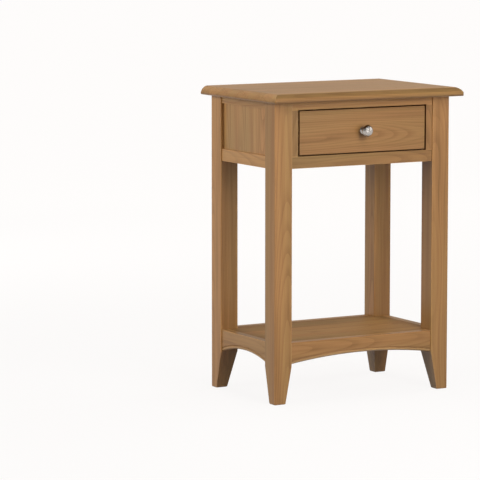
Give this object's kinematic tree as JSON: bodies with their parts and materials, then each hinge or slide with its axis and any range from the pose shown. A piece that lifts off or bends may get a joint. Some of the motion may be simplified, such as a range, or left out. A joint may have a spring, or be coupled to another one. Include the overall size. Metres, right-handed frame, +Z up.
{
  "type": "telephone table",
  "caption": "Small oak table with a moulded top, tapered square legs, a side-hung dovetailed drawer with a round knob, and a low shelf inside arched aprons.",
  "frame": {"origin": "on the floor under the middle of the tabletop", "axes": "+Z up, the drawer opens towards -Y, +X to the right as seen from the front"},
  "size_m": [0.536, 0.365, 0.75],
  "materials": {
    "oak": "satin lacquer over light oak",
    "drawer_oak": "sanded light oak",
    "plywood": "sanded plywood",
    "nickel": "satin nickel",
    "screw_steel": "zinc-plated steel"
  },
  "bodies": {
    "frame": {"tabletop": "oak", "leg_front_left": "oak", "leg_front_right": "oak", "leg_back_left": "oak", "leg_back_right": "oak", "front_top_rail": "oak", "front_bottom_rail": "oak", "front_stile_left": "oak", "front_stile_right": "oak", "left_top_rail": "oak", "left_bottom_rail": "oak", "left_panel": "oak", "right_top_rail": "oak", "right_bottom_rail": "oak", "right_panel": "oak", "back_top_rail": "oak", "back_bottom_rail": "oak", "back_panel": "oak", "shelf": "oak", "apron_front": "oak", "apron_right": "oak", "apron_back": "oak", "apron_left": "oak", "drawer_runner_left": "oak", "top_batten_left": "oak", "drawer_runner_right": "oak", "top_batten_right": "oak", "runner_screws": "screw_steel"},
    "drawer": {"drawer_front": "oak", "drawer_side_left": "drawer_oak", "drawer_side_right": "drawer_oak", "drawer_back": "drawer_oak", "drawer_bottom": "plywood", "knob": "nickel", "knob_bolt": "screw_steel"}
  },
  "joints": [
    {"name": "drawer_slide", "type": "slide", "parent": "frame", "child": "drawer", "axis": [0, -1, 0], "range_m": [0, 0.2]}
  ]
}
